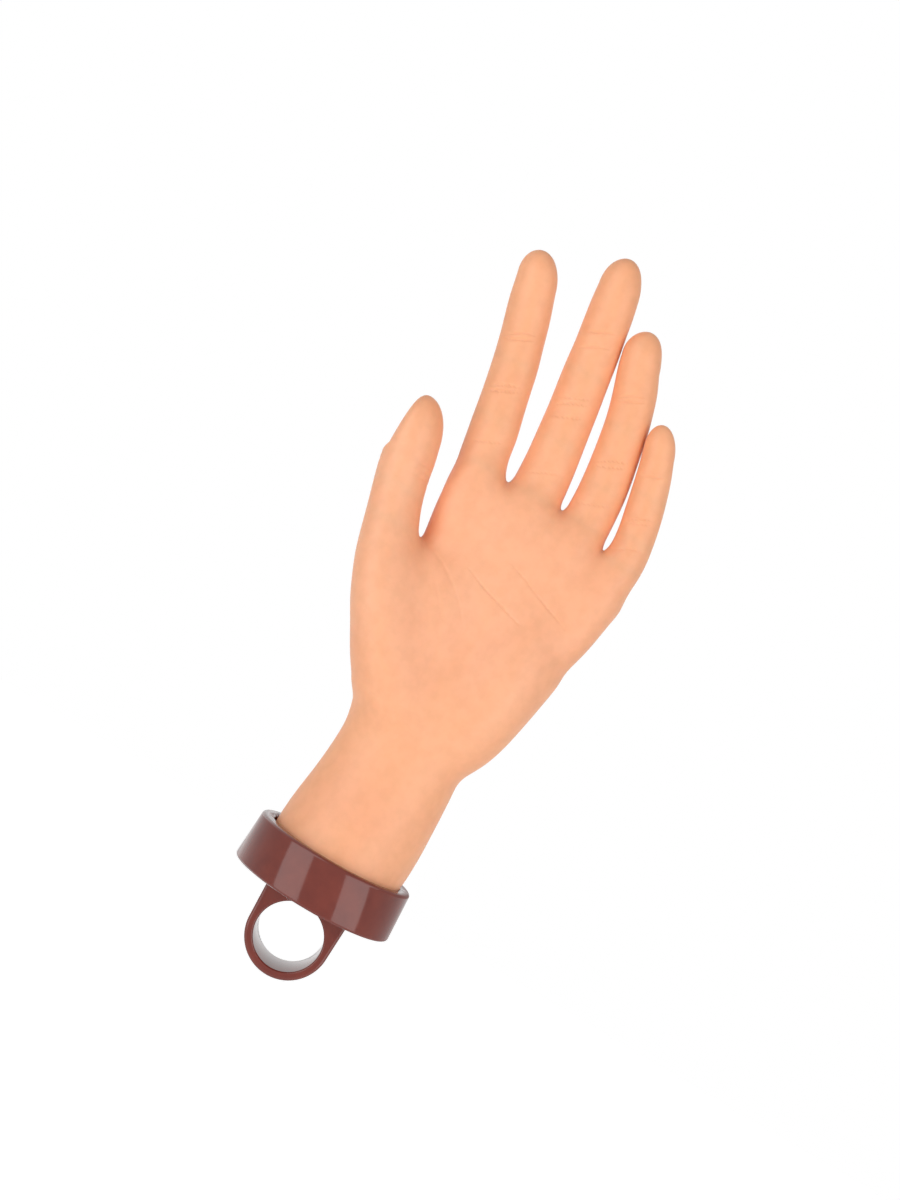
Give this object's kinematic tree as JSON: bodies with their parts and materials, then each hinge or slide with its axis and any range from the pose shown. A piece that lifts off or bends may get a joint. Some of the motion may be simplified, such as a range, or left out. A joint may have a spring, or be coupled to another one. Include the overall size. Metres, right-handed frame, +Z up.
{
  "type": "posable hand",
  "caption": "Soft left hand with hinged fingers and thumb on an inner armature, seated in a rigid wrist collar with a ring eye for a clamp post.",
  "frame": {"origin": "centre of the ring eye's bore", "axes": "+Z up along the wrist to the middle finger, +Y out of the back of the hand along the ring eye's bore, thumb on -X"},
  "size_m": [0.0997, 0.06, 0.2715],
  "materials": {
    "skin_vinyl": "soft matt moulded vinyl",
    "collar_brown": "gloss moulded",
    "nylon": "moulded",
    "steel": "turned"
  },
  "bodies": {
    "palm": {"skin_palm": "skin_vinyl", "skin_thumb_base": "skin_vinyl", "skin_wrist": "skin_vinyl", "palm_core": "nylon", "wrist_plug": "nylon", "wrist_collar": "collar_brown", "collar_screws": "steel", "core_bolt": "steel", "knuckle_pins": "steel"},
    "index_proximal": {"index_proximal_bone": "nylon", "index_proximal_skin": "skin_vinyl", "index_middle_pin": "steel"},
    "index_middle": {"index_middle_bone": "nylon", "index_middle_skin": "skin_vinyl", "index_tip_pin": "steel"},
    "index_distal": {"index_distal_bone": "nylon", "index_distal_skin": "skin_vinyl"},
    "middle_proximal": {"middle_proximal_bone": "nylon", "middle_proximal_skin": "skin_vinyl", "middle_middle_pin": "steel"},
    "middle_middle": {"middle_middle_bone": "nylon", "middle_middle_skin": "skin_vinyl", "middle_tip_pin": "steel"},
    "middle_distal": {"middle_distal_bone": "nylon", "middle_distal_skin": "skin_vinyl"},
    "ring_proximal": {"ring_proximal_bone": "nylon", "ring_proximal_skin": "skin_vinyl", "ring_middle_pin": "steel"},
    "ring_middle": {"ring_middle_bone": "nylon", "ring_middle_skin": "skin_vinyl", "ring_tip_pin": "steel"},
    "ring_distal": {"ring_distal_bone": "nylon", "ring_distal_skin": "skin_vinyl"},
    "pinky_proximal": {"pinky_proximal_bone": "nylon", "pinky_proximal_skin": "skin_vinyl", "pinky_middle_pin": "steel"},
    "pinky_middle": {"pinky_middle_bone": "nylon", "pinky_middle_skin": "skin_vinyl", "pinky_tip_pin": "steel"},
    "pinky_distal": {"pinky_distal_bone": "nylon", "pinky_distal_skin": "skin_vinyl"},
    "thumb_proximal": {"thumb_proximal_bone": "nylon", "thumb_proximal_skin": "skin_vinyl", "thumb_tip_pin": "steel"},
    "thumb_distal": {"thumb_distal_bone": "nylon", "thumb_distal_skin": "skin_vinyl"}
  },
  "joints": [
    {"name": "index_root", "type": "hinge", "parent": "palm", "child": "index_proximal", "pos_m": [-0.0258, 0.0005, 0.177], "axis": [0.9806, 0, 0.1959], "range_deg": [-10, 60]},
    {"name": "index_middle", "type": "hinge", "parent": "index_proximal", "child": "index_middle", "pos_m": [-0.0298, 0.00014, 0.197], "axis": [0.9769, 0, 0.2139], "range_deg": [0, 75]},
    {"name": "index_tip", "type": "hinge", "parent": "index_middle", "child": "index_distal", "pos_m": [-0.03419, -0.00118, 0.21544], "axis": [0.9694, 0, 0.2453], "range_deg": [0, 50]},
    {"name": "middle_root", "type": "hinge", "parent": "palm", "child": "middle_proximal", "pos_m": [-0.004, 0.002, 0.177], "axis": [0.9932, 0, 0.1167], "range_deg": [-10, 60]},
    {"name": "middle_middle", "type": "hinge", "parent": "middle_proximal", "child": "middle_middle", "pos_m": [-0.007, 0.0011, 0.20251], "axis": [0.9911, 0, 0.1331], "range_deg": [0, 75]},
    {"name": "middle_tip", "type": "hinge", "parent": "middle_middle", "child": "middle_distal", "pos_m": [-0.01077, -0.0011, 0.22743], "axis": [0.9881, 0, 0.1538], "range_deg": [0, 50]},
    {"name": "ring_root", "type": "hinge", "parent": "palm", "child": "ring_proximal", "pos_m": [0.0161, 0.001, 0.175], "axis": [0.9951, 0, 0.0993], "range_deg": [-10, 60]},
    {"name": "ring_middle", "type": "hinge", "parent": "ring_proximal", "child": "ring_middle", "pos_m": [0.0142, 0.00033, 0.19399], "axis": [0.988, 0, 0.1547], "range_deg": [0, 75]},
    {"name": "ring_tip", "type": "hinge", "parent": "ring_middle", "child": "ring_distal", "pos_m": [0.00951, -0.00163, 0.21591], "axis": [0.9724, 0, 0.2334], "range_deg": [0, 50]},
    {"name": "pinky_root", "type": "hinge", "parent": "palm", "child": "pinky_proximal", "pos_m": [0.034, -0.0015, 0.169], "axis": [0.9914, 0, 0.1305], "range_deg": [-10, 60]},
    {"name": "pinky_middle", "type": "hinge", "parent": "pinky_proximal", "child": "pinky_middle", "pos_m": [0.03229, -0.00196, 0.18198], "axis": [0.981, 0, 0.1942], "range_deg": [0, 75]},
    {"name": "pinky_tip", "type": "hinge", "parent": "pinky_middle", "child": "pinky_distal", "pos_m": [0.02833, -0.00358, 0.19688], "axis": [0.9634, 0, 0.2681], "range_deg": [0, 50]},
    {"name": "thumb_root", "type": "hinge", "parent": "palm", "child": "thumb_proximal", "pos_m": [-0.0425, -0.007, 0.1435], "axis": [-0.4931, -0.846, -0.2029], "range_deg": [-35, 10]},
    {"name": "thumb_tip", "type": "hinge", "parent": "thumb_proximal", "child": "thumb_distal", "pos_m": [-0.04668, -0.00806, 0.15808], "axis": [-0.4989, -0.8441, -0.1962], "range_deg": [-35, 0]}
  ]
}
